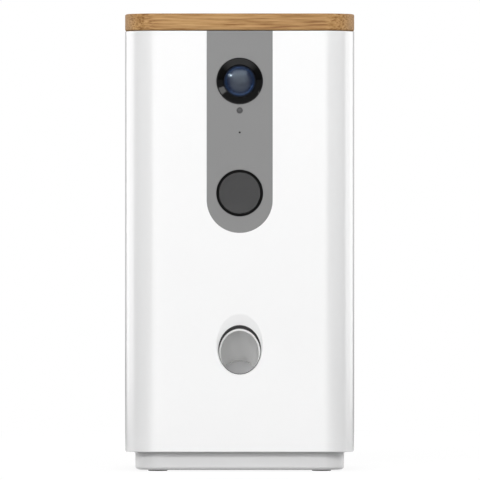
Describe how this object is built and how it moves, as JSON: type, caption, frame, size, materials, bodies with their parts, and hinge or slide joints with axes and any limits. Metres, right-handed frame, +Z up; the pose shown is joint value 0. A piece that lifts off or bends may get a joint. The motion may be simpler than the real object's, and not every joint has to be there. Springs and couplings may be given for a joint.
{
  "type": "treat tossing pet camera",
  "caption": "Tall rounded-square pet camera with a lift-off bamboo lid, a dosing wheel under its treat bin and a spring plunger in an inclined tube that throws treats out of the front.",
  "frame": {"origin": "middle of the underside, on the surface that it stands on", "axes": "+Z up, -Y toward the front with the lens and the outlet, +X to the right as seen from the front"},
  "size_m": [0.14, 0.141, 0.279],
  "materials": {
    "white_shell": "smooth satin gloss",
    "grey_fascia": "fine matte",
    "bamboo": "fine straight grain, satin lacquer",
    "light_grey_base": "satin",
    "black_gloss": "polished",
    "black_matte": "matte",
    "lens_glass": "coated, blue and violet sheen",
    "smoked_window": "smoked, polished",
    "silicone": "soft, matte",
    "rubber": "matte",
    "steel": "zinc plated",
    "brass": "machined",
    "spring_steel": "drawn wire",
    "clear_plastic": "clear, slightly frosted",
    "natural_plastic": "natural, satin",
    "grey_plastic": "satin",
    "orange_plastic": "satin",
    "circuit_board": "solder mask"
  },
  "bodies": {
    "housing": {"base_plinth": "light_grey_base", "base_screw_1": "steel", "base_screw_2": "steel", "base_screw_3": "steel", "base_screw_4": "steel", "body_shell": "white_shell", "camera_board": "circuit_board", "camera_carrier": "black_matte", "chassis_deck": "grey_plastic", "dosing_motor": "steel", "drop_baffle": "natural_plastic", "drop_chute": "clear_plastic", "foot_pad_1": "rubber", "foot_pad_2": "rubber", "foot_pad_3": "rubber", "foot_pad_4": "rubber", "front_fascia": "grey_fascia", "ir_bezel": "black_gloss", "ir_led_board": "circuit_board", "ir_window": "smoked_window", "launch_motor": "steel", "launch_spring": "spring_steel", "launch_tube": "natural_plastic", "left_cheek": "grey_plastic", "lens_barrel": "black_matte", "lens_glass": "lens_glass", "lens_hood": "black_gloss", "light_sensor_lens": "clear_plastic", "main_board": "circuit_board", "microphone": "black_matte", "power_board": "circuit_board", "power_socket": "steel", "reset_switch": "black_matte", "right_cheek": "grey_plastic", "sensor_board": "circuit_board", "speaker": "black_matte", "treat_bin": "natural_plastic", "tube_cap": "grey_plastic"},
    "lid": {"lid_board": "bamboo", "lid_plug": "natural_plastic", "lid_seal": "silicone"},
    "plunger": {"plunger": "grey_plastic"},
    "gear_train": {"sector_pinion": "natural_plastic", "drive_gear": "natural_plastic", "gear_axle": "steel"},
    "motor_pinion": {"launch_pinion": "brass", "launch_motor_shaft": "steel"},
    "wheel": {"dosing_wheel": "orange_plastic", "agitator": "silicone", "dosing_motor_shaft": "steel"},
    "button": {"reset_button": "grey_fascia"}
  },
  "joints": [
    {"name": "lid_lift", "type": "slide", "parent": "housing", "child": "lid", "axis": [0, 0, 1], "range_m": [0, 0.06]},
    {"name": "plunger_slide", "type": "slide", "parent": "housing", "child": "plunger", "axis": [0, 0.866, -0.5], "range_m": [0, 0.0252], "stiffness_N_per_m": 300, "springref_m": -0.01, "deforming": ["launch_spring"]},
    {"name": "gear_turn", "type": "hinge", "parent": "housing", "child": "gear_train", "pos_m": [0, -0.02803, 0.02559], "axis": [-1, 0, 0], "range_deg": [0, 180.5]},
    {"name": "pinion_turn", "type": "hinge", "parent": "housing", "child": "motor_pinion", "pos_m": [0, -0.04403, 0.02559], "axis": [1, 0, 0], "range_deg": [0, 541.5]},
    {"name": "wheel_spin", "type": "hinge", "parent": "housing", "child": "wheel", "pos_m": [0, 0.01, 0.122], "axis": [0, 0, 1], "continuous": true},
    {"name": "reset_press", "type": "slide", "parent": "housing", "child": "button", "axis": [0, -1, 0], "range_m": [0, 0.0008], "stiffness_N_per_m": 400, "springref_m": -0.002}
  ],
  "couplings": [
    {"joint": "gear_turn", "follows": "plunger_slide", "rad_per_m": 125},
    {"joint": "pinion_turn", "follows": "plunger_slide", "rad_per_m": 375}
  ]
}
